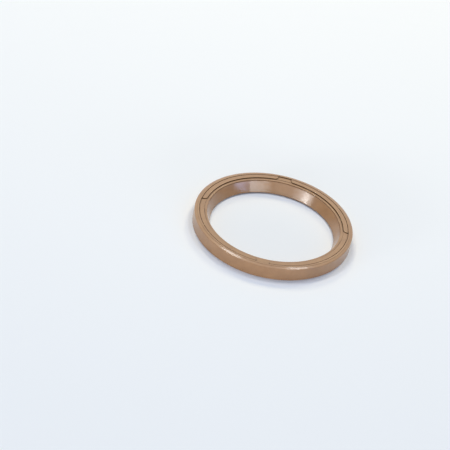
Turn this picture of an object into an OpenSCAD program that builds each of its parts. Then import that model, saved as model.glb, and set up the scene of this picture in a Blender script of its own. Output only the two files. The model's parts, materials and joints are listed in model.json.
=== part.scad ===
// Radial shaft seal: a brown rubber body moulded over a pressed steel case, with one sealing lip
// that a garter spring holds on the shaft. It lies on its oil side, with the air side upwards.
// Millimetres. The shaft axis is +Z and the origin is the centre of the resting face.

/* [Fits] */
// Outside diameter, which is pressed into the housing
outer_d = 75; // [73.5:0.5:80]
// Diameter of the shaft that the lip runs on
shaft_d = 60; // [57:0.5:61]
// How much smaller than the shaft the free lip is, across its diameter
lip_interference = 1.3; // [0.8:0.1:2]
// Width along the shaft, up to the rim
width = 7; // [6.5:0.1:9]

/* [Air side] */
// How much lower than the rim the pads are
pad_drop = 0.06; // [0.02:0.02:0.12]
// Height of the raised pads above the face
pad_height = 0.45; // [0.3:0.05:0.6]
// Width of a pad, measured from the axis outwards
pad_w = 2.05; // [1.6:0.05:2.5]
// Angle of the gap between two pads
pad_gap = 10.5; // [6:0.5:20]
// Radius of the rounded inner corner at each end of a pad
pad_corner_r = 1.9; // [0.6:0.1:2.2]
// Chamfer along the inside of each pad
pad_chamfer = 0.12; // [0.05:0.01:0.2]
// Height of a gap's floor above the face
gap_floor = 0.1; // [0.05:0.05:0.2]
// How far a gap is cut into the rim
gap_reach = 0.1; // [0.05:0.05:0.2]
// Width of the fine groove between the pads and the rim
groove_w = 0.3; // [0.2:0.05:0.4]
// Depth of that groove below the pads
groove_depth = 0.2; // [0.1:0.02:0.24]
// Width of the flat rim outside the groove
rim_w = 0.9; // [0.6:0.05:1.2]
// Step from the rim down to the shoulder
rim_step = 0.12; // [0.06:0.02:0.2]
// Width of the sloping shoulder at the outer edge
shoulder_w = 1.3; // [1:0.05:1.5]
// Slope of the shoulder
shoulder_angle = 20; // [12:1:26]
// Radius of the outer edge
edge_r = 0.3; // [0.15:0.05:0.5]

/* [Lip] */
// Slope of the cone that runs from the face down to the lip, from the axis
cone_angle = 23; // [19:0.5:26]
// Radius where the cone meets the face
face_edge_r = 0.15; // [0.08:0.01:0.3]
// Height of the lip's edge above the resting face
lip_z = 0.7; // [0.5:0.05:0.9]
// Height of the narrow band that touches the shaft
land_h = 0.3; // [0.2:0.05:0.4]
// Height of the lip's underside above the resting face
head_z = 0.25; // [0.1:0.05:0.4]
// Rubber between the cone and the spring
under_spring = 0.75; // [0.5:0.05:0.9]
// Rubber below the spring, which keeps it in its groove
retainer_t = 0.4; // [0.3:0.05:0.5]
// Rubber above the spring
head_cap = 0.45; // [0.3:0.05:0.7]
// How far the head stands out past the spring's centre
head_reach = 0.5; // [0.35:0.05:0.6]
// Thickness of the flexing wall between the head and the case
flex_t = 1.05; // [0.8:0.05:1.3]
// Radius between the flexing wall and the rubber under the case
flex_fillet_r = 0.8; // [0.4:0.1:1.2]

/* [Case] */
// Thickness of the rubber coat outside the case
coat_t = 0.8; // [0.6:0.05:1]
// Thickness of the rubber on the case's air side
face_t = 0.6; // [0.45:0.05:0.8]
// Thickness of the steel
steel_t = 0.8; // [0.5:0.05:1]
// Outer radius of the bend in the steel
bend_r = 1.2; // [1.1:0.05:1.6]
// Width of the case's inward flange, from its outside
flange_w = 3.6; // [3:0.1:4]
// Height of the steel's open end above the resting face
case_z = 0.3; // [0.2:0.05:0.6]
// Thickness of the rubber that grips the flange from below
grip_t = 0.4; // [0.3:0.05:0.6]
// How far that rubber reaches under the flange
grip_w = 1.2; // [0.8:0.1:1.6]
// Chamfer at the outside of the resting face
lead_in = 0.4; // [0.2:0.05:0.6]

/* [Spring] */
// Outside diameter of the spring's coil
spring_coil_d = 1.5; // [1.2:0.05:1.6]
// Clearance between the coil and its groove
spring_clear = 0.05; // [0.02:0.01:0.1]

/* [Hidden] */
$fn = 128;

PADS = 4;
rubber_colour = "#9c7355";
steel_colour = "#8d9196";
spring_colour = "#b9bcc0";

// Steps in a drawn round, and along the outer wall of a gap
round_steps = 6;
gap_steps = 4;
// How far the shape that cuts a gap stands above the rim
cutter_clear = 1;
// Chamfer under the head
head_chamfer = 0.2;
// Height in which the head narrows to the flexing wall
neck_h = 0.5;

// Radii, from the outside inwards
outer_r = outer_d / 2;
rim_outer_r = outer_r - shoulder_w;
groove_outer_r = rim_outer_r - rim_w;
groove_inner_r = groove_outer_r - groove_w;
pad_inner_r = groove_inner_r - pad_w;
gap_outer_r = groove_outer_r + gap_reach;
case_outer_r = outer_r - coat_t;
case_inner_r = case_outer_r - steel_t;
flange_inner_r = case_outer_r - flange_w;
grip_outer_r = flange_inner_r + grip_w;
lip_r = (shaft_d - lip_interference) / 2;

// Heights, from the top down
shoulder_z = width - rim_step;
pad_z = width - pad_drop;
face_z = pad_z - pad_height;
gap_z = face_z + gap_floor;
flange_top_z = face_z - face_t;
flange_bottom_z = flange_top_z - steel_t;
grip_z = flange_bottom_z - grip_t;

// The spring and the head of the lip round it
spring_groove_r = spring_coil_d / 2 + spring_clear;
spring_z = head_z + retainer_t + spring_groove_r;
spring_r = cone_r(spring_z) + (under_spring + spring_groove_r) / cos(cone_angle);
head_r = spring_r + head_reach;
head_top_z = spring_z + spring_groove_r + head_cap;
neck_z = head_top_z + neck_h;

// Radius of the inner cone, and of the flexing wall's outside, at a height
function cone_r(z) = lip_r + (z - lip_z - land_h) * tan(cone_angle);
function flex_r(z) = cone_r(z) + flex_t / cos(cone_angle);

// Points of an arc from one angle to another
function arc(centre, r, from, to, steps = round_steps) =
    [for (i = [0 : steps]) let (a = from + (to - from) * i / steps)
        centre + r * [cos(a), sin(a)]];

// The shoulder's lower end is an arc that meets the outer wall and the slope smoothly
edge_end_r = outer_r - edge_r + edge_r * sin(shoulder_angle);
edge_z = shoulder_z - (edge_end_r - rim_outer_r) * tan(shoulder_angle) - edge_r * cos(shoulder_angle);
edge_arc = arc([outer_r - edge_r, edge_z], edge_r, 0, 90 - shoulder_angle);

// The cone is rounded where it meets the face
face_edge_z = face_z - face_edge_r;
face_edge_centre = [cone_r(face_edge_z) + face_edge_r / cos(cone_angle), face_edge_z];
face_edge_arc = arc(face_edge_centre, face_edge_r, 90, 180 - cone_angle);

// The flexing wall runs into the rubber under the flange
flex_end_z = grip_z - flex_fillet_r;
flex_centre = [flex_r(flex_end_z) + flex_fillet_r / cos(cone_angle), flex_end_z];
flex_arc = arc(flex_centre, flex_fillet_r, 180 - cone_angle, 90);

// The bend in the steel, as its outside and its inside
bend_centre = [case_outer_r - bend_r, flange_top_z - bend_r];
bend_outside = arc(bend_centre, bend_r, 0, 90);
bend_inside = arc(bend_centre, bend_r - steel_t, 90, 0);

function reversed(points) = [for (i = [len(points) - 1 : -1 : 0]) points[i]];

// Half section of the rubber through its pads, as radius and height
module rubber_section() {
    lip = [
        [lip_r, lip_z + land_h],
        [lip_r, lip_z],
        [lip_r + lip_z - head_z, head_z],
        [head_r - head_chamfer, head_z],
        [head_r, head_z + head_chamfer],
        [head_r, head_top_z],
        [flex_r(neck_z), neck_z]
    ];
    grip = [
        [grip_outer_r, grip_z],
        [grip_outer_r, flange_bottom_z],
        [flange_inner_r, flange_bottom_z],
        [flange_inner_r, flange_top_z]
    ];
    coat = [
        [case_outer_r, 0],
        [outer_r - lead_in, 0],
        [outer_r, lead_in]
    ];
    face = [
        [rim_outer_r, shoulder_z],
        [rim_outer_r, width],
        [groove_outer_r, width],
        [(groove_outer_r + groove_inner_r) / 2, pad_z - groove_depth],
        [groove_inner_r, pad_z],
        [pad_inner_r + pad_chamfer, pad_z],
        [pad_inner_r, pad_z - pad_chamfer],
        [pad_inner_r, face_z]
    ];
    difference() {
        polygon(concat(lip, flex_arc, grip, reversed(bend_outside), coat, edge_arc, face, face_edge_arc));
        translate([spring_r, spring_z]) circle(spring_groove_r);
    }
}

// Half plan of one gap: its outer wall, its side and the round into the open face
function half_gap() =
    let (
        half = pad_gap / 2,
        corner_r = min(pad_corner_r, pad_w),
        centre_r = pad_inner_r + corner_r,
        corner_at = half + asin(corner_r / centre_r),
        centre = centre_r * [cos(corner_at), sin(corner_at)],
        side = arc(centre, corner_r, half + 270, corner_at + 180),
        last = side[round_steps],
        before_last = side[round_steps - 1]
    )
    concat(arc([0, 0], gap_outer_r, 0, half, gap_steps / 2), side, [2 * last - before_last]);

// What is cut away between two pads, across the +X axis
module gap() {
    half = half_gap();
    mirrored = [for (i = [len(half) - 1 : -1 : 1]) [half[i][0], -half[i][1]]];
    translate([0, 0, gap_z]) linear_extrude(width - gap_z + cutter_clear) polygon(concat(half, mirrored));
}

module seal_body() {
    color(rubber_colour) difference() {
        rotate_extrude() rubber_section();
        for (k = [0 : PADS - 1]) rotate(k * 360 / PADS) gap();
    }
}

// The pressed ring: a leg along the outside, a bend and a flange inwards
module steel_case() {
    leg = [[case_inner_r, case_z], [case_outer_r, case_z]];
    flange = [[flange_inner_r, flange_top_z], [flange_inner_r, flange_bottom_z]];
    color(steel_colour) rotate_extrude() polygon(concat(leg, bend_outside, flange, bend_inside));
}

// The closed coil spring, as the ring that its coil fills
module garter_spring() {
    color(spring_colour) rotate_extrude() translate([spring_r, spring_z]) circle(spring_coil_d / 2);
}

seal_body();
steel_case();
garter_spring();
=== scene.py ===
import json
import math

import bmesh
import bpy
from mathutils import Matrix, Vector


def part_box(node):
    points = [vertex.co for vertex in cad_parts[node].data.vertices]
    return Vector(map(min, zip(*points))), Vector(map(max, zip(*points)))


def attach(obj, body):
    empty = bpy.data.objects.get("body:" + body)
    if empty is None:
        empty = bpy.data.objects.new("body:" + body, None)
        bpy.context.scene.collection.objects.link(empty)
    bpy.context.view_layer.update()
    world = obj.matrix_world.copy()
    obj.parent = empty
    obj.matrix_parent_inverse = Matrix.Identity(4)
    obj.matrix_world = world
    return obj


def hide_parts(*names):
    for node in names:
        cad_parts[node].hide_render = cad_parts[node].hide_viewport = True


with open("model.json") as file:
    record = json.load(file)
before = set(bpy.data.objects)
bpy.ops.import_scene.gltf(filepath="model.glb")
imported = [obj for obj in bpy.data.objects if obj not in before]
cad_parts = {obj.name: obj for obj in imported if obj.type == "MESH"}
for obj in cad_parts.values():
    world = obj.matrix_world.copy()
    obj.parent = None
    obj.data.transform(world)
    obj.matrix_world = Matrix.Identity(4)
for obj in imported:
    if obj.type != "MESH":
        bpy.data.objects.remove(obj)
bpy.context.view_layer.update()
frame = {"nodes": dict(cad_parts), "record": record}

# Lengths are millimetres up to the point where a mesh or the camera is made. Lamps are in metres
MM = 0.001

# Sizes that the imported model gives
body_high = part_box("seal_body")[1]
case_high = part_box("steel_case")[1]
spring_low, spring_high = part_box("garter_spring")
mounts = {mount["name"]: mount for mount in frame["record"]["mounts"]}
OUTER_R = body_high.x / MM
WIDTH = body_high.z / MM
CASE_OUTER_R = case_high.x / MM
FLANGE_TOP_Z = case_high.z / MM
LIP_R = mounts["shaft_lip"]["dims"]["r_mm"]
COIL_D = (spring_high.z - spring_low.z) / MM
SPRING_R = spring_high.x / MM - COIL_D / 2
SPRING_Z = (spring_low.z + spring_high.z) / 2 / MM

# Air side: raised pads with recessed gaps between them, a fine groove, a narrow rim and a shoulder
PADS = 4
PITCH_DEG = 360 / PADS
PAD_DROP = 0.06
PAD_HEIGHT = 0.45
PAD_WIDTH = 2.05
PAD_GAP_DEG = 10.5
PAD_CORNER_R = 1.9
PAD_EDGE_R = 0.12
GAP_FLOOR = 0.1
GAP_REACH = 0.1
GROOVE_WIDTH = 0.3
GROOVE_DEPTH = 0.2
RIM_WIDTH = 0.9
RIM_STEP = 0.12
SHOULDER_WIDTH = 1.3
SHOULDER_DEG = 20
OUTER_EDGE_R = 0.3
SHOULDER_Z = WIDTH - RIM_STEP
PAD_Z = WIDTH - PAD_DROP
FACE_Z = PAD_Z - PAD_HEIGHT
GAP_Z = FACE_Z + GAP_FLOOR
RIM_OUTER_R = OUTER_R - SHOULDER_WIDTH
GROOVE_OUTER_R = RIM_OUTER_R - RIM_WIDTH
GROOVE_INNER_R = GROOVE_OUTER_R - GROOVE_WIDTH
GAP_OUTER_R = GROOVE_OUTER_R + GAP_REACH
PAD_INNER_R = GROOVE_INNER_R - PAD_WIDTH

# Lip, its head round the spring, and the wall that flexes
CONE_DEG = 23
FACE_EDGE_R = 0.15
LIP_Z = 0.7
LAND_HEIGHT = 0.3
HEAD_Z = 0.25
HEAD_REACH = 0.5
HEAD_CAP = 0.45
HEAD_CHAMFER = 0.2
NECK_HEIGHT = 0.5
FLEX_THICKNESS = 1.05
FLEX_FILLET_R = 0.8
SPRING_CLEARANCE = 0.05
SPRING_GROOVE_R = COIL_D / 2 + SPRING_CLEARANCE
HEAD_R = SPRING_R + HEAD_REACH
HEAD_TOP_Z = SPRING_Z + SPRING_GROOVE_R + HEAD_CAP

# Rubber round the pressed case
STEEL_THICKNESS = 0.8
BEND_R = 1.2
FLANGE_WIDTH = 3.6
FLANGE_INNER_R = CASE_OUTER_R - FLANGE_WIDTH
FLANGE_BOTTOM_Z = FLANGE_TOP_Z - STEEL_THICKNESS
GRIP_THICKNESS = 0.4
GRIP_WIDTH = 1.2
GRIP_Z = FLANGE_BOTTOM_Z - GRIP_THICKNESS
GRIP_OUTER_R = FLANGE_INNER_R + GRIP_WIDTH
LEAD_IN = 0.4

# Radii that a mould leaves on edges which the drawing calls sharp
MOULD_EDGE_R = 0.06
LIP_EDGE_R = 0.03

# Fine line that is left on the cone, just below the face, where the flash was trimmed off
TRIM_DROP = 0.42
TRIM_WIDTH = 0.44
TRIM_DEPTH = 0.2

# Garter spring
WIRE_D = 0.4
TURN_CLEARANCE = 0.01
POINTS_PER_TURN = 16
WIRE_SIDES = 8

# Fineness of the turned mesh. An edge that bends by more than SHARP_DEG is shaded as sharp
COLUMNS = 480
ROUND_STEP_DEG = 15
PAD_SIDE_STEPS = 56
GAP_STEPS = 6
SHARP_DEG = 40

# Radii that differ by less than this are the same
SAME_R = 1e-6


def direction(azimuth_deg, elevation_deg):
    """Unit vector towards an azimuth and an elevation."""
    a, e = math.radians(azimuth_deg), math.radians(elevation_deg)
    return Vector((math.cos(e) * math.cos(a), math.cos(e) * math.sin(a), math.sin(e)))


def cone_r(z):
    """Radius of the inner cone at a height."""
    return LIP_R + (z - LIP_Z - LAND_HEIGHT) * math.tan(math.radians(CONE_DEG))


def flex_r(z):
    """Radius of the flexing wall's outside at a height."""
    return cone_r(z) + FLEX_THICKNESS / math.cos(math.radians(CONE_DEG))


def arc(centre, radius, start_deg, end_deg):
    """Points of an arc, both ends included."""
    steps = max(1, round(abs(end_deg - start_deg) / ROUND_STEP_DEG))
    angles = [math.radians(start_deg + (end_deg - start_deg) * i / steps) for i in range(steps + 1)]
    return [(centre[0] + radius * math.cos(a), centre[1] + radius * math.sin(a)) for a in angles]


def rounded(corners):
    """An open outline through the corners (x, y, radius), each rounded by its radius."""
    outline = [corners[0][:2]]
    for before, corner, after in zip(corners, corners[1:], corners[2:]):
        here, radius = Vector(corner[:2]), corner[2]
        if radius == 0:
            outline.append(tuple(here))
            continue
        to_before = (Vector(before[:2]) - here).normalized()
        to_after = (Vector(after[:2]) - here).normalized()
        half = to_before.angle(to_after) / 2
        centre = here + (to_before + to_after).normalized() * radius / math.sin(half)
        first = here + to_before * radius / math.tan(half) - centre
        last = here + to_after * radius / math.tan(half) - centre
        start = math.degrees(math.atan2(first.y, first.x))
        sweep = math.degrees(math.atan2(first.cross(last), first.dot(last)))
        outline += arc(centre, radius, start, start + sweep)
    return outline + [corners[-1][:2]]


def rubber_outline():
    """Half section of the rubber as radius and height, from the face's inner edge round to the rim."""
    mouth_deg = math.degrees(math.acos(HEAD_REACH / SPRING_GROOVE_R))
    mouth = HEAD_REACH * math.tan(math.radians(mouth_deg))
    trim_z = FACE_Z - TRIM_DROP
    lip = rounded([
        (cone_r(FACE_Z) + FACE_EDGE_R, FACE_Z, 0),
        (cone_r(FACE_Z), FACE_Z, FACE_EDGE_R),
        (cone_r(trim_z + TRIM_WIDTH / 2), trim_z + TRIM_WIDTH / 2, LIP_EDGE_R),
        (cone_r(trim_z) + TRIM_DEPTH, trim_z, LIP_EDGE_R),
        (cone_r(trim_z - TRIM_WIDTH / 2), trim_z - TRIM_WIDTH / 2, LIP_EDGE_R),
        (LIP_R, LIP_Z + LAND_HEIGHT, LIP_EDGE_R),
        (LIP_R, LIP_Z, LIP_EDGE_R),
        (LIP_R + LIP_Z - HEAD_Z, HEAD_Z, MOULD_EDGE_R),
        (HEAD_R - HEAD_CHAMFER, HEAD_Z, MOULD_EDGE_R),
        (HEAD_R, HEAD_Z + HEAD_CHAMFER, MOULD_EDGE_R),
        (HEAD_R, SPRING_Z - mouth, 0),
    ])
    spring_groove = arc((SPRING_R, SPRING_Z), SPRING_GROOVE_R, -mouth_deg, mouth_deg - 360)
    inside = rounded([
        (HEAD_R, SPRING_Z + mouth, 0),
        (HEAD_R, HEAD_TOP_Z, MOULD_EDGE_R),
        (flex_r(HEAD_TOP_Z + NECK_HEIGHT), HEAD_TOP_Z + NECK_HEIGHT, MOULD_EDGE_R),
        (flex_r(GRIP_Z), GRIP_Z, FLEX_FILLET_R),
        (GRIP_OUTER_R, GRIP_Z, MOULD_EDGE_R),
        (GRIP_OUTER_R, FLANGE_BOTTOM_Z, 0),
        (FLANGE_INNER_R, FLANGE_BOTTOM_Z, 0),
        (FLANGE_INNER_R, FLANGE_TOP_Z, 0),
        (CASE_OUTER_R, FLANGE_TOP_Z, BEND_R),
        (CASE_OUTER_R, 0, 0),
    ])
    outside = rounded([
        (CASE_OUTER_R, 0, 0),
        (OUTER_R - LEAD_IN, 0, MOULD_EDGE_R),
        (OUTER_R, LEAD_IN, MOULD_EDGE_R),
        (OUTER_R, SHOULDER_Z - SHOULDER_WIDTH * math.tan(math.radians(SHOULDER_DEG)), OUTER_EDGE_R),
        (RIM_OUTER_R, SHOULDER_Z, MOULD_EDGE_R / 2),
        (RIM_OUTER_R, WIDTH, MOULD_EDGE_R),
        (RIM_OUTER_R - 2 * MOULD_EDGE_R, WIDTH, 0),
    ])
    return lip + spring_groove[1:-1] + inside[:-1] + outside


def groove_outline():
    """Half section of the fine groove, from a pad's flat top out to the rim's."""
    line = rounded([
        (GROOVE_INNER_R - MOULD_EDGE_R, PAD_Z, 0),
        (GROOVE_INNER_R, PAD_Z, MOULD_EDGE_R),
        ((GROOVE_OUTER_R + GROOVE_INNER_R) / 2, PAD_Z - GROOVE_DEPTH, MOULD_EDGE_R / 2),
        (GROOVE_OUTER_R, WIDTH, MOULD_EDGE_R),
        (GROOVE_OUTER_R + MOULD_EDGE_R, WIDTH, 0),
    ])
    return line[1:-1]


def side_deg(radius, margin):
    """Angle at a radius of the line that runs a margin inside a pad's end, beside the gap at angle 0."""
    return PAD_GAP_DEG / 2 + math.degrees(math.asin(margin / radius))


def raised_edge(margin):
    """The edge of the raised surface round one pad and half a gap on each side, set back by a margin.

    Each point is a radius, an angle in degrees and the height of the surface beside it.
    """
    wall_r = GAP_OUTER_R + margin
    wall_end_deg = side_deg(wall_r, margin)
    half = [(wall_r, wall_end_deg * i / GAP_STEPS, WIDTH) for i in range(GAP_STEPS + 1)]
    half += [(r, side_deg(r, margin), z) for r, z in reversed(groove_outline())]
    centre_r = PAD_INNER_R + PAD_CORNER_R
    corner_deg = PAD_GAP_DEG / 2 + math.degrees(math.asin(PAD_CORNER_R / centre_r))
    centre = direction(corner_deg, 0) * centre_r
    for x, y in arc(centre, PAD_CORNER_R - margin, PAD_GAP_DEG / 2 + 270, corner_deg + 180):
        half.append((math.hypot(x, y), math.degrees(math.atan2(y, x)), PAD_Z))
    half_steps = PAD_SIDE_STEPS // 2
    for i in range(1, half_steps + 1):
        angle = corner_deg + (PITCH_DEG / 2 - corner_deg) * i / half_steps
        half.append((PAD_INNER_R + margin, angle, PAD_Z))
    return half + [(r, PITCH_DEG - angle, z) for r, angle, z in reversed(half[1:-1])]


def wall_levels():
    """The wall round a pad: its foot on the gap's floor, then the rounded top up to the raised surface."""
    levels = [[(r, angle, GAP_Z) for r, angle, z in raised_edge(0)]]
    for step in range(90 // ROUND_STEP_DEG + 1):
        a = math.radians(step * ROUND_STEP_DEG)
        margin, drop = PAD_EDGE_R * (1 - math.cos(a)), PAD_EDGE_R * (1 - math.sin(a))
        levels.append([(r, angle, z - drop) for r, angle, z in raised_edge(margin)])
    return levels


def turned(points, k):
    """(radius, angle, height) points of the first pad as (x, y, z) points of pad k."""
    return [(*(direction(angle + k * PITCH_DEG, 0) * r).xy, z) for r, angle, z in points]


def new_piece(name, mesh, material):
    """A piece made from a bmesh, smooth except at its sharp edges."""
    bmesh.ops.recalc_face_normals(mesh, faces=mesh.faces)
    data = bpy.data.meshes.new(name)
    mesh.to_mesh(data)
    mesh.free()
    data.polygons.foreach_set("use_smooth", [True] * len(data.polygons))
    data.set_sharp_from_angle(angle=math.radians(SHARP_DEG))
    data.materials.append(material)
    piece = bpy.data.objects.new(name, data)
    bpy.context.scene.collection.objects.link(piece)
    return piece


def ring_of(mesh, points, z=None):
    """Vertices at (x, y) points of one height, or at (x, y, z) points."""
    return [mesh.verts.new(Vector((p[0], p[1], p[2] if z is None else z)) * MM) for p in points]


def bridge(mesh, one, other, closed=True):
    """A band of faces between two rows of vertices with as many points each."""
    for i in range(0 if closed else 1, len(one)):
        mesh.faces.new((one[i - 1], one[i], other[i], other[i - 1]))


def edge_loop(mesh, row, closed=True):
    """The edges along a row of vertices, made where there are none yet."""
    pairs = zip(row, row[1:] + row[:1]) if closed else zip(row, row[1:])
    return [mesh.edges.get(pair) or mesh.edges.new(pair) for pair in pairs]


def fill_flat(mesh, edges):
    """Triangles on level ground between the outer and inner loops that the edges make."""
    bmesh.ops.triangle_fill(mesh, edges=edges, normal=(0, 0, 1), use_beauty=True)


def groove_strips(mesh, top, k):
    """The fine groove along pad k, between points of its raised edge. Returns its inner and outer rows."""
    groove, last = groove_outline(), len(top)
    rows = []
    for j, (r, z) in enumerate(groove):
        end = GAP_STEPS + len(groove) - j
        first_deg = side_deg(r, PAD_EDGE_R)
        length_deg = PITCH_DEG - 2 * first_deg
        inner = [(r, first_deg + length_deg * i / PAD_SIDE_STEPS, z) for i in range(1, PAD_SIDE_STEPS)]
        rows.append([top[end]] + ring_of(mesh, turned(inner, k)) + [top[last - end]])
    for one, other in zip(rows, rows[1:]):
        bridge(mesh, one, other, closed=False)
    return rows[0], rows[-1]


def air_side(mesh, face_row, rim_row):
    """Face, pads, gaps and fine groove, between the face's inner edge and the rim's outer part."""
    levels = wall_levels()
    walls = [[ring_of(mesh, turned(level, k)) for k in range(PADS)] for level in levels]
    for lower, upper in zip(walls, walls[1:]):
        bridge(mesh, sum(lower, []), sum(upper, []))

    # Places along a level: the pad's flat top, and where its rounded inner corner ends
    foot, last = levels[0], len(levels[0])
    pad_start = GAP_STEPS + len(groove_outline())
    corner_end = next(i for i, point in enumerate(foot)
                      if i > pad_start + 1 and abs(point[0] - PAD_INNER_R) < SAME_R)
    gap_from_deg = foot[last - corner_end][1]
    gap_to_deg = PITCH_DEG + foot[corner_end][1]
    gap_deg = gap_to_deg - gap_from_deg

    rim_edges = edge_loop(mesh, rim_row)
    low_ring = []
    for k in range(PADS):
        following = (k + 1) % PADS
        top, next_top = walls[-1][k], walls[-1][following]
        bottom, next_bottom = walls[0][k], walls[0][following]
        inner_row, outer_row = groove_strips(mesh, top, k)
        pad_edge = edge_loop(mesh, top[pad_start:last - pad_start + 1], False)
        fill_flat(mesh, edge_loop(mesh, inner_row, False) + pad_edge)
        rim_edges += edge_loop(mesh, outer_row, False)
        rim_edges += edge_loop(mesh, top[last - GAP_STEPS - 1:] + next_top[:GAP_STEPS + 2], False)
        gap_arc = [(PAD_INNER_R, gap_from_deg + gap_deg * i / (2 * GAP_STEPS), GAP_Z)
                   for i in range(1, 2 * GAP_STEPS)]
        gap_row = ring_of(mesh, turned(gap_arc, k))
        gap_wall = bottom[last - corner_end:] + next_bottom[:corner_end + 1]
        fill_flat(mesh, edge_loop(mesh, gap_wall + gap_row[::-1]))
        low_ring += bottom[corner_end:last - corner_end + 1] + gap_row
    face_ring = ring_of(mesh, [v.co.xy / MM for v in low_ring], FACE_Z)
    bridge(mesh, face_ring, low_ring)
    fill_flat(mesh, edge_loop(mesh, face_row) + edge_loop(mesh, face_ring))
    fill_flat(mesh, rim_edges)


def seal_rubber(material):
    """The moulded rubber: a turned section, closed by the air side with its pads."""
    mesh = bmesh.new()
    turns = [math.tau * i / COLUMNS for i in range(COLUMNS)]
    rows = [ring_of(mesh, [(r * math.cos(a), r * math.sin(a)) for a in turns], z)
            for r, z in rubber_outline()]
    for one, other in zip(rows, rows[1:]):
        bridge(mesh, one, other)
    air_side(mesh, rows[0], rows[-1])
    piece = new_piece("rubber", mesh, material)
    piece.modifiers.new("even_shading", "WEIGHTED_NORMAL").keep_sharp = True
    return piece


def spring_coil(material):
    """The garter spring: a closed coil of round wire bent into a ring."""
    coil_r = (COIL_D - WIRE_D) / 2
    turns = math.floor(math.tau * (SPRING_R - coil_r) / (WIRE_D + TURN_CLEARANCE))
    count = turns * POINTS_PER_TURN

    def wire_at(i):
        """Centre of the wire at a step, and which way it lies from the middle of the coil."""
        around, turn = math.tau * i / count, math.tau * i / POINTS_PER_TURN
        outwards = Vector((math.cos(around), math.sin(around), 0))
        side = math.cos(turn) * outwards + Vector((0, 0, math.sin(turn)))
        return outwards * SPRING_R + Vector((0, 0, SPRING_Z)) + side * coil_r, side

    mesh = bmesh.new()
    rows = []
    for i in range(count):
        point, side = wire_at(i)
        along = (wire_at(i + 1)[0] - wire_at(i - 1)[0]).normalized()
        across = along.cross(side).normalized()
        side = across.cross(along)
        angles = [math.tau * k / WIRE_SIDES for k in range(WIRE_SIDES)]
        rows.append(ring_of(mesh, [point + (side * math.cos(a) + across * math.sin(a)) * WIRE_D / 2
                                   for a in angles]))
    for i in range(count):
        bridge(mesh, rows[i - 1], rows[i])
    return new_piece("spring_coil", mesh, material)


def srgb(hex_colour):
    """Linear colour of an sRGB hex value."""
    parts = [int(hex_colour[i:i + 2], 16) / 255 for i in (1, 3, 5)]
    return tuple(p / 12.92 if p <= 0.04045 else ((p + 0.055) / 1.055) ** 2.4 for p in parts) + (1,)


def add(tree, kind, links=(), **settings):
    """Adds a node. links gives each input, by name or number, a value or another node's output."""
    node = tree.nodes.new(kind)
    for name, value in settings.items():
        setattr(node, name, value)
    for socket, value in dict(links).items():
        if isinstance(value, bpy.types.NodeSocket):
            tree.links.new(value, node.inputs[socket])
        else:
            node.inputs[socket].default_value = value
    return node


def new_material(name):
    """An empty material and its node tree."""
    material = bpy.data.materials.new(name)
    material.use_nodes = True
    material.node_tree.nodes.clear()
    return material, material.node_tree


def finish_material(tree, shader):
    """Puts the shader on the surface."""
    add(tree, "ShaderNodeOutputMaterial", {"Surface": shader.outputs[0]})


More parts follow.
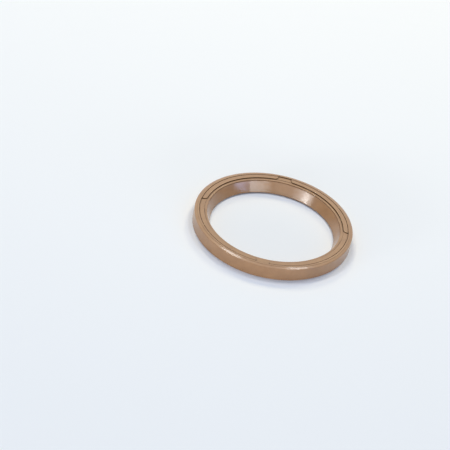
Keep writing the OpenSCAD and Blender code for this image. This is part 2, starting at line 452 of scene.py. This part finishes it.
def moulded_fkm():
    """Brown fluoroelastomer, compression moulded in a polished mould and post-cured.

    The eye sees a warm brown with a silky gloss and faint upright streaks on the walls where the compound
    flowed. The dark matt lines in the corners are painted shade: colour and gloss are lowered where a
    corner is closed in. The mould's grain is too fine to show, so it is drawn coarser.
    """
    grain_mm, cloud_mm, streak_mm, painted_shade_reach_mm = 0.25, 5.0, 1.6, 1.0
    streak_height_mm, grain_height_mm = 0.03, 0.008
    # How much slower the streaks change upwards than along the walls
    streak_stretch = 0.06
    # Openness at which the painted corner shade is darkest, and from which a surface is left unshaded
    shut, clear = 0.55, 0.97
    # Gloss of a surface away from the painted corner shade
    plain_sheen, plain_coat = 0.5, 0.65
    rubber_ior = 1.45
    material, tree = new_material("moulded_fkm_rubber")
    place = add(tree, "ShaderNodeTexCoord").outputs["Object"]
    cloud = add(tree, "ShaderNodeTexNoise", {
        "Vector": place, "Scale": 1 / (cloud_mm * MM), "Detail": 4.0, "Roughness": 0.6})
    along_walls = add(tree, "ShaderNodeVectorMath", {
        0: place, 1: (1, 1, streak_stretch)}, operation="MULTIPLY")
    streak = add(tree, "ShaderNodeTexNoise", {
        "Vector": along_walls.outputs[0], "Scale": 1 / (streak_mm * MM), "Detail": 3.0, "Roughness": 0.6})
    grain = add(tree, "ShaderNodeTexNoise", {
        "Vector": place, "Scale": 1 / (grain_mm * MM), "Detail": 3.0, "Roughness": 0.55})
    colour = add(tree, "ShaderNodeValToRGB", {"Fac": cloud.outputs["Fac"]})
    colour.color_ramp.elements[0].position = 0.3
    colour.color_ramp.elements[0].color = srgb("#98704b")
    colour.color_ramp.elements[1].position = 0.7
    colour.color_ramp.elements[1].color = srgb("#a57c55")
    # Painted shade: the Ambient Occlusion node finds how closed in each point is, and corners get darker
    # colour and less gloss
    openness = add(tree, "ShaderNodeAmbientOcclusion", {
        "Distance": painted_shade_reach_mm * MM}, samples=16, only_local=True)
    corner = add(tree, "ShaderNodeMapRange", {
        "Value": openness.outputs["AO"], "From Min": shut, "From Max": clear})
    colour_with_painted_shade = add(tree, "ShaderNodeVectorMath", {
        0: colour.outputs["Color"], "Scale": corner.outputs["Result"]}, operation="SCALE")
    sheen = add(tree, "ShaderNodeMath", {
        0: corner.outputs["Result"], 1: plain_sheen}, operation="MULTIPLY")
    coat = add(tree, "ShaderNodeMath", {
        0: corner.outputs["Result"], 1: plain_coat}, operation="MULTIPLY")
    gloss = add(tree, "ShaderNodeMapRange", {
        "Value": streak.outputs["Fac"], "To Min": 0.34, "To Max": 0.44})
    broad = add(tree, "ShaderNodeBump", {
        "Height": streak.outputs["Fac"], "Strength": 0.8, "Distance": streak_height_mm * MM})
    fine = add(tree, "ShaderNodeBump", {
        "Height": grain.outputs["Fac"], "Strength": 0.25, "Distance": grain_height_mm * MM,
        "Normal": broad.outputs["Normal"]})
    finish_material(tree, add(tree, "ShaderNodeBsdfPrincipled", {
        "Base Color": colour_with_painted_shade.outputs[0], "Roughness": gloss.outputs["Result"],
        "IOR": rubber_ior, "Normal": fine.outputs["Normal"],
        "Specular IOR Level": sheen.outputs[0],
        "Coat Weight": coat.outputs[0], "Coat Roughness": 0.12, "Coat IOR": rubber_ior,
        "Coat Normal": broad.outputs["Normal"]}))
    return material


def pressed_steel():
    """Cold-rolled steel, deep drawn and phosphated.

    The eye sees a soft grey metal with a faintly mottled, frosty grain. The crystals are too fine to
    show, so they are drawn coarser.
    """
    crystal_mm, crystal_height_mm = 0.5, 0.02
    material, tree = new_material("phosphated_pressed_steel")
    place = add(tree, "ShaderNodeTexCoord").outputs["Object"]
    mottle = add(tree, "ShaderNodeTexNoise", {
        "Vector": place, "Scale": 1 / (crystal_mm * MM), "Detail": 5.0, "Roughness": 0.7})
    colour = add(tree, "ShaderNodeValToRGB", {"Fac": mottle.outputs["Fac"]})
    colour.color_ramp.elements[0].position = 0.35
    colour.color_ramp.elements[0].color = srgb("#74787c")
    colour.color_ramp.elements[1].position = 0.65
    colour.color_ramp.elements[1].color = srgb("#92969a")
    gloss = add(tree, "ShaderNodeMapRange", {
        "Value": mottle.outputs["Fac"], "To Min": 0.38, "To Max": 0.55})
    bump = add(tree, "ShaderNodeBump", {
        "Height": mottle.outputs["Fac"], "Strength": 0.2, "Distance": crystal_height_mm * MM})
    finish_material(tree, add(tree, "ShaderNodeBsdfPrincipled", {
        "Base Color": colour.outputs["Color"], "Metallic": 1.0,
        "Roughness": gloss.outputs["Result"], "Normal": bump.outputs["Normal"]}))
    return material


def drawn_spring_wire():
    """Patented spring wire, cold drawn and bright.

    The eye sees a bright line along every turn, with dark joints between the turns.
    """
    draw_mark_mm = 0.08
    material, tree = new_material("drawn_spring_wire")
    place = add(tree, "ShaderNodeTexCoord").outputs["Object"]
    marks = add(tree, "ShaderNodeTexNoise", {
        "Vector": place, "Scale": 1 / (draw_mark_mm * MM), "Detail": 2.0})
    gloss = add(tree, "ShaderNodeMapRange", {
        "Value": marks.outputs["Fac"], "To Min": 0.22, "To Max": 0.36})
    finish_material(tree, add(tree, "ShaderNodeBsdfPrincipled", {
        "Base Color": srgb("#b4b6b8"), "Metallic": 1.0, "Roughness": gloss.outputs["Result"]}))
    return material


# The studio. Azimuth 0 is +X and 90 is +Y, away from the camera
BACKGROUND = "#f5f8fb"
BACKGROUND_STRENGTH = 1.0
SKY = "#b4d2ff"
SKY_STRENGTH = 0.46
FLOOR = "#f0f1f1"
FLOOR_HALF = 3000.0

# The wall stands in an arc on the camera's side
WALL = "#37332f"
WALL_R = 1900.0
WALL_HEIGHT = 600.0
WALL_FROM_DEG = 130
WALL_TO_DEG = 410
WALL_STEP_DEG = 10

# Lamps, each by name, azimuth, elevation, distance, width, height, radiance and colour
WARM_WHITE = "#ffeeb8"
PLAIN_WHITE = "#ffffff"
PALE_BLUE = "#c2ceff"
LAMPS = [
    # Main light, which throws the shadow forwards and gives the pads their gloss
    ("back_right", 70, 44, 1.3, 0.20, 0.30, 19.0, WARM_WHITE),
    ("back_left", 115, 44, 1.3, 0.20, 0.30, 19.0, WARM_WHITE),
    # Bright lines along the near shoulder
    ("top_right", 58, 67, 1.3, 0.22, 0.22, 17.0, PLAIN_WHITE),
    ("top_left", 127, 67, 1.3, 0.22, 0.22, 15.0, PLAIN_WHITE),
    ("left_top", 172, 64, 1.3, 0.10, 0.10, 50.0, PLAIN_WHITE),
    # Fill on the outer wall
    ("front_top", 275, 50, 1.5, 0.50, 0.30, 4.0, PLAIN_WHITE),
    # Low lamps that the inner cone mirrors, from its bright band on the right to the bluish one on the left
    ("front_left", 229, 6.5, 1.6, 0.34, 0.10, 38.0, PLAIN_WHITE),
    ("front_left_glow", 234, 7.5, 1.6, 1.06, 0.18, 9.0, PLAIN_WHITE),
    ("front", 268, 11, 1.6, 0.80, 0.24, 1.8, PLAIN_WHITE),
    ("front_right", 305, 8, 1.6, 1.05, 0.15, 10.5, PLAIN_WHITE),
    ("right", 335, 4, 1.6, 0.90, 0.14, 10.0, PALE_BLUE),
]


def softbox(name, azimuth_deg, elevation_deg, distance, width, height, radiance, colour):
    """A square-on area lamp that faces the object. radiance 1 is as bright as white paper in full light."""
    lamp = bpy.data.lights.new(name, "AREA")
    lamp.shape = "RECTANGLE"
    lamp.size, lamp.size_y = width, height
    lamp.energy = radiance * math.pi * width * height
    lamp.color = srgb(colour)[:3]
    holder = bpy.data.objects.new(name, lamp)
    towards = direction(azimuth_deg, elevation_deg)
    holder.location = towards * distance
    holder.rotation_euler = towards.to_track_quat("Z", "Y").to_euler()
    bpy.context.scene.collection.objects.link(holder)


def studio_world():
    """A soft sky that lights the object, and the pale background where it is seen or mirrored."""
    world = bpy.data.worlds.new("studio")
    bpy.context.scene.world = world
    world.use_nodes = True
    tree = world.node_tree
    tree.nodes.clear()
    path = add(tree, "ShaderNodeLightPath")
    camera_or_mirror = add(tree, "ShaderNodeMath", {
        0: path.outputs["Is Camera Ray"], 1: path.outputs["Is Glossy Ray"]}, operation="MAXIMUM")
    seen = add(tree, "ShaderNodeMath", {
        0: camera_or_mirror.outputs[0], 1: path.outputs["Is Transmission Ray"]}, operation="MAXIMUM")
    sky = add(tree, "ShaderNodeBackground", {"Color": srgb(SKY), "Strength": SKY_STRENGTH})
    backdrop = add(tree, "ShaderNodeBackground", {
        "Color": srgb(BACKGROUND), "Strength": BACKGROUND_STRENGTH})
    mixed = add(tree, "ShaderNodeMixShader", {
        0: seen.outputs[0], 1: sky.outputs[0], 2: backdrop.outputs[0]})
    add(tree, "ShaderNodeOutputWorld", {"Surface": mixed.outputs[0]})


def studio_floor():
    """A plain pale floor of matt paper, which keeps the object's shadow."""
    half = FLOOR_HALF
    mesh = bmesh.new()
    mesh.faces.new(ring_of(mesh, [(-half, -half), (half, -half), (half, half), (-half, half)], 0))
    material, tree = new_material("matt_white_paper")
    finish_material(tree, add(tree, "ShaderNodeBsdfDiffuse", {"Color": srgb(FLOOR)}))
    new_piece("floor", mesh, material)


def dark_wall():
    """The dull side of the room, behind the camera. The inner cone mirrors it between the lamps."""
    material, tree = new_material("matt_dark_paint")
    finish_material(tree, add(tree, "ShaderNodeBsdfDiffuse", {"Color": srgb(WALL)}))
    mesh = bmesh.new()
    azimuths = range(WALL_FROM_DEG, WALL_TO_DEG + 1, WALL_STEP_DEG)
    foot = [direction(azimuth, 0).xy * WALL_R for azimuth in azimuths]
    bridge(mesh, ring_of(mesh, foot, 0), ring_of(mesh, foot, WALL_HEIGHT), closed=False)
    new_piece("dark_wall", mesh, material)


# The photographer's camera, which looks from far away through a long lens and is rolled a little
LENS = 203.1
SENSOR = 36.0
CAMERA_DISTANCE = 1184.0
CAMERA_AZIMUTH = -87.5
CAMERA_ELEVATION = 35.63
CAMERA_ROLL = 12.18
AIM = (-21.6, -4.2, 0.0)
CLIP_NEAR = 100.0
CLIP_FAR = 20000.0


def camera():
    """Looks at AIM from CAMERA_DISTANCE, turned about its own line of sight by CAMERA_ROLL."""
    data = bpy.data.cameras.new("camera")
    data.lens, data.sensor_width = LENS, SENSOR
    data.clip_start, data.clip_end = CLIP_NEAR * MM, CLIP_FAR * MM
    holder = bpy.data.objects.new("camera", data)
    back = direction(CAMERA_AZIMUTH, CAMERA_ELEVATION)
    holder.location = Vector(AIM) * MM + back * CAMERA_DISTANCE * MM
    level = back.to_track_quat("Z", "Y").to_matrix()
    holder.rotation_euler = (level @ Matrix.Rotation(math.radians(CAMERA_ROLL), 3, "Z")).to_euler()
    bpy.context.scene.collection.objects.link(holder)
    bpy.context.scene.camera = holder


def dress_the_seal():
    """Rubber and coil take the place of their plain nodes. The case keeps its node's shape, in steel."""
    rubber = seal_rubber(moulded_fkm())
    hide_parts("seal_body")
    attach(rubber, "root")
    coil = spring_coil(drawn_spring_wire())
    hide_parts("garter_spring")
    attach(coil, "root")
    case = frame["nodes"]["steel_case"]
    case.data.materials.clear()
    case.data.materials.append(pressed_steel())


bpy.context.scene.view_settings.view_transform = "Standard"
camera()
studio_world()
studio_floor()
dark_wall()
for lamp in LAMPS:
    softbox(*lamp)
dress_the_seal()
